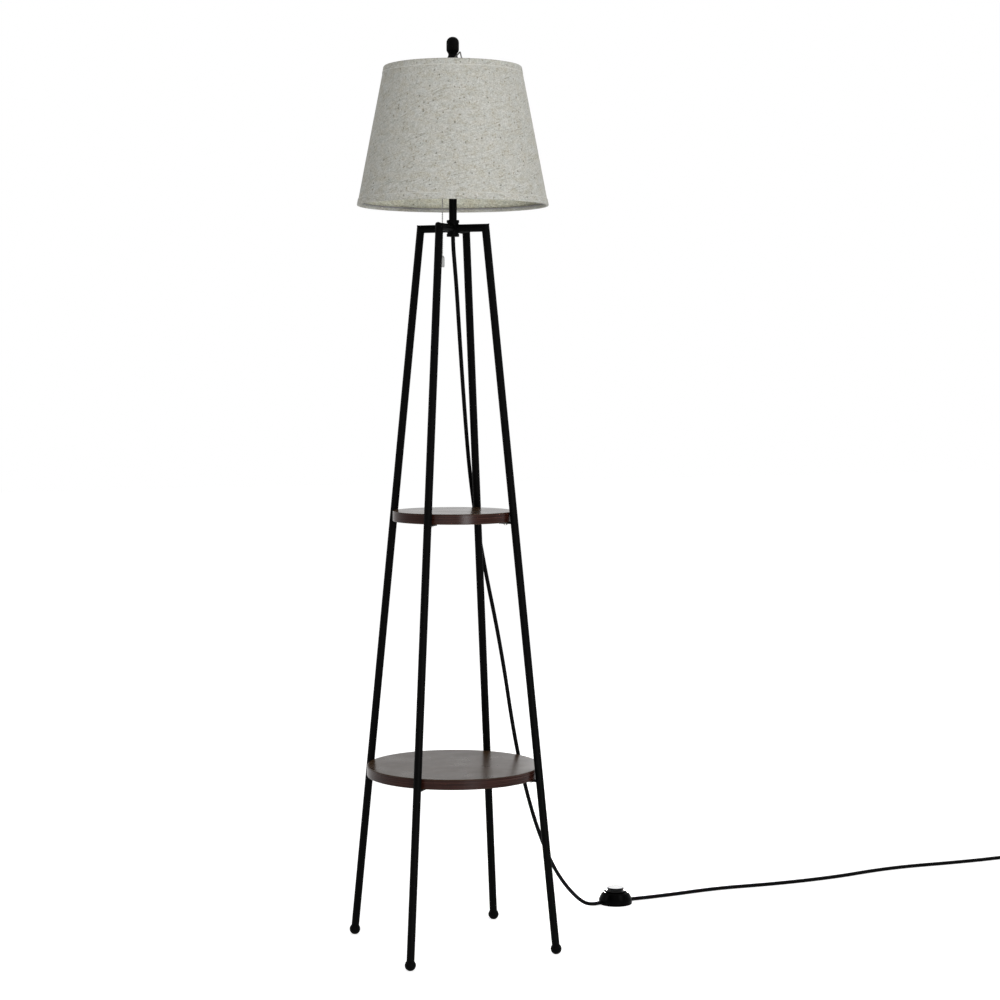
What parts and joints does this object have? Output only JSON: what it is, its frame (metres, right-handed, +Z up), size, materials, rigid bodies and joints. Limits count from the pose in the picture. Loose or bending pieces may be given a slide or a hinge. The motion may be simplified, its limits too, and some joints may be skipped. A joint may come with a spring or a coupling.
{
  "type": "shelf floor lamp",
  "caption": "Floor lamp on four splayed round-tube legs with ball feet, two round shelves between the legs, a tapered linen shade, a pull chain and a foot switch on its cord.",
  "frame": {"origin": "on the floor, on the lamp's vertical axis, midway between the four feet", "axes": "+Z up; the feet stand on a square whose sides are parallel to X and Y; the cord leaves towards +X"},
  "size_m": [1.5109, 0.3306, 1.48],
  "materials": {
    "black_metal": "satin black powder coat",
    "zinc": "zinc-plated steel",
    "brass": "bright brass",
    "pale_fob": "pale grey moulding",
    "insulation": "dark moulded insulation",
    "linen": "slubby greige linen",
    "dark_board": "dark walnut finish, glossy",
    "black_plastic": "black, slightly glossy",
    "bulb_glass": "frosted white",
    "bulb_cap": "plain"
  },
  "bodies": {
    "root": {"arm_back_left": "black_metal", "arm_back_right": "black_metal", "arm_front_left": "black_metal", "arm_front_right": "black_metal", "centre_contact": "brass", "chain_spout": "brass", "cord_bushing": "insulation", "cord_lower": "black_plastic", "cord_upper": "black_plastic", "foot_ball_back_left": "black_metal", "foot_ball_back_right": "black_metal", "foot_ball_front_left": "black_metal", "foot_ball_front_right": "black_metal", "harp_crown": "zinc", "harp_saddle": "zinc", "harp_sleeves": "zinc", "harp_stud": "zinc", "harp_wire_left": "zinc", "harp_wire_right": "zinc", "hub": "black_metal", "leg_back_left": "black_metal", "leg_back_right": "black_metal", "leg_front_left": "black_metal", "leg_front_right": "black_metal", "plug_blades": "brass", "plug_body": "black_plastic", "rod_lock_nut": "zinc", "screw_shell": "brass", "shelf_lower": "dark_board", "shelf_screws_lower": "zinc", "shelf_screws_upper": "zinc", "shelf_tabs_lower": "black_metal", "shelf_tabs_upper": "black_metal", "shelf_upper": "dark_board", "socket_block": "insulation", "socket_cap": "brass", "socket_insulator": "insulation", "socket_shell": "brass", "stem_tube": "black_metal", "switch_base": "black_plastic", "switch_contacts": "brass", "switch_cover": "black_plastic", "switch_screws": "zinc", "switch_spring": "zinc", "threaded_rod": "zinc"},
    "pull": {"pull_chain": "zinc", "pull_fob": "pale_fob"},
    "switch_button": {"switch_button": "black_plastic"},
    "shade": {"shade_fabric": "linen", "shade_trim_top": "linen", "shade_trim_bottom": "linen", "shade_ring_top": "zinc", "shade_ring_bottom": "zinc", "spider_washer": "zinc", "spider_arms": "zinc"},
    "finial": {"finial": "black_metal"},
    "bulb": {"bulb_glass": "bulb_glass", "bulb_base": "bulb_cap"}
  },
  "joints": [
    {"name": "chain_pull", "type": "slide", "parent": "root", "child": "pull", "axis": [0, 0, -1], "range_m": [0, 0.012], "stiffness_N_per_m": 300, "springref_m": -0.001},
    {"name": "foot_button", "type": "slide", "parent": "root", "child": "switch_button", "axis": [0, 0, -1], "range_m": [0, 0.004], "stiffness_N_per_m": 1500, "springref_m": -0.001, "deforming": ["switch_spring"]},
    {"name": "shade_turn", "type": "hinge", "parent": "root", "child": "shade", "pos_m": [0, 0, 1.4385], "axis": [0, 0, 1], "continuous": true},
    {"name": "finial_turn", "type": "hinge", "parent": "root", "child": "finial", "pos_m": [0, 0, 1.46], "axis": [0, 0, 1], "continuous": true},
    {"name": "bulb_turn", "type": "hinge", "parent": "root", "child": "bulb", "pos_m": [0, 0, 1.28], "axis": [0, 0, 1], "continuous": true}
  ]
}
